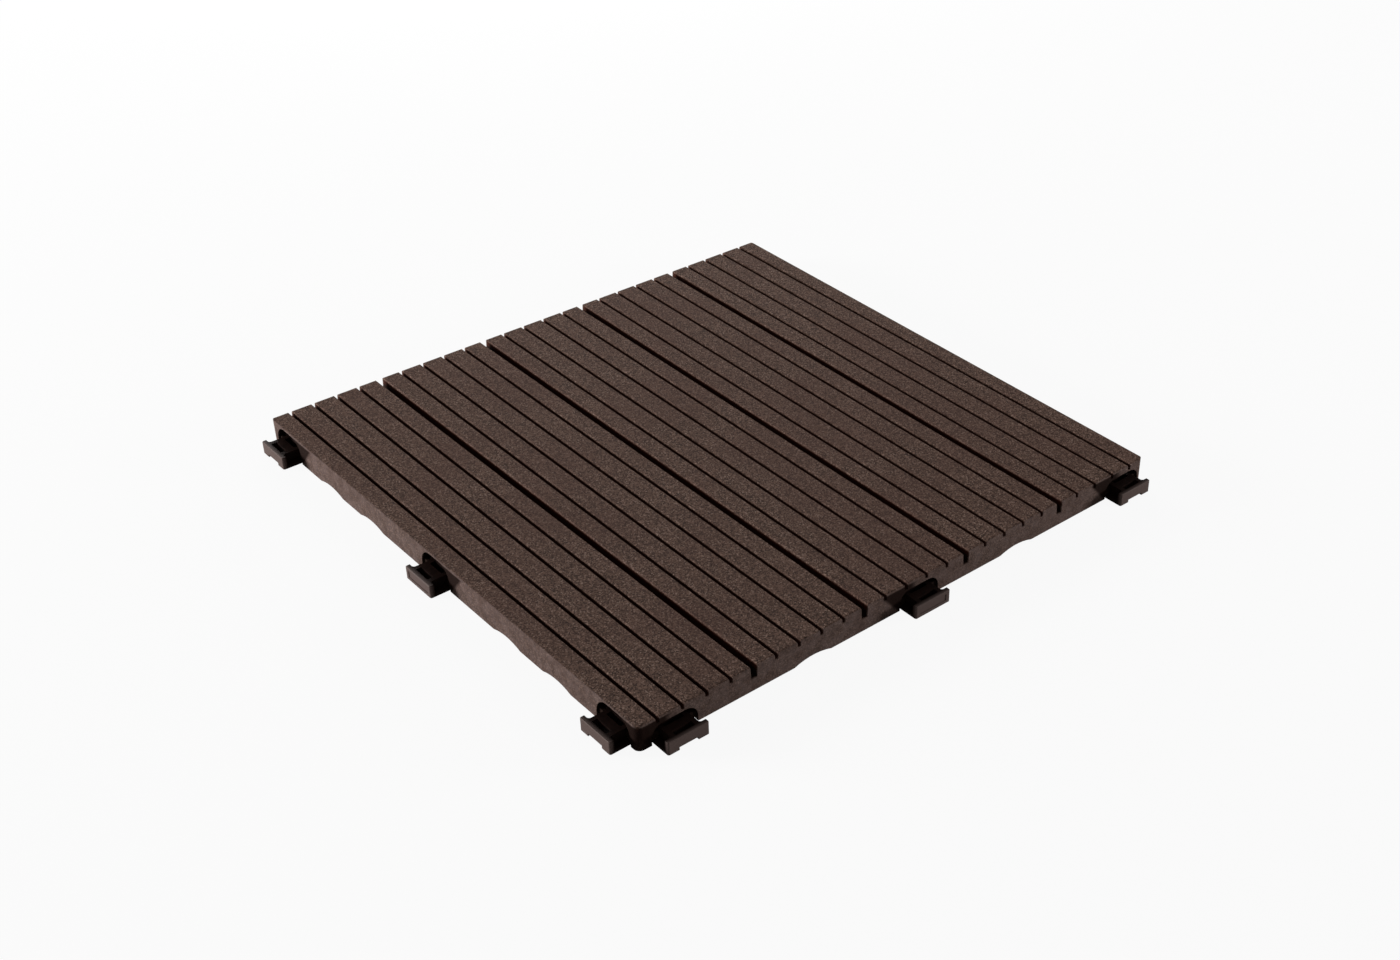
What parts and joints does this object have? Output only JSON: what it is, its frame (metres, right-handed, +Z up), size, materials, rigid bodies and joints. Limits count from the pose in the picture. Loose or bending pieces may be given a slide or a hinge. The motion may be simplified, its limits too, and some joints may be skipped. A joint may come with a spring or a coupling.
{
  "type": "interlocking deck tile",
  "caption": "Square slatted deck tile of moulded rubber composite, with clips pressed into two edges that join it to the next tiles.",
  "frame": {"origin": "centre of the tile's underside, the face it lies on", "axes": "+Z up through the slatted face; the slats run along Y; the clips stand out of the -X and -Y edges"},
  "size_m": [0.3091, 0.3091, 0.0128],
  "materials": {
    "tile": "matt, finely granular",
    "clip": "satin, dark brown moulded plastic"
  },
  "bodies": {
    "root": {"deck_tile": "tile", "clip_left_near": "clip", "clip_left_middle": "clip", "clip_left_far": "clip", "clip_front_near": "clip", "clip_front_middle": "clip", "clip_front_far": "clip"}
  },
  "joints": []
}
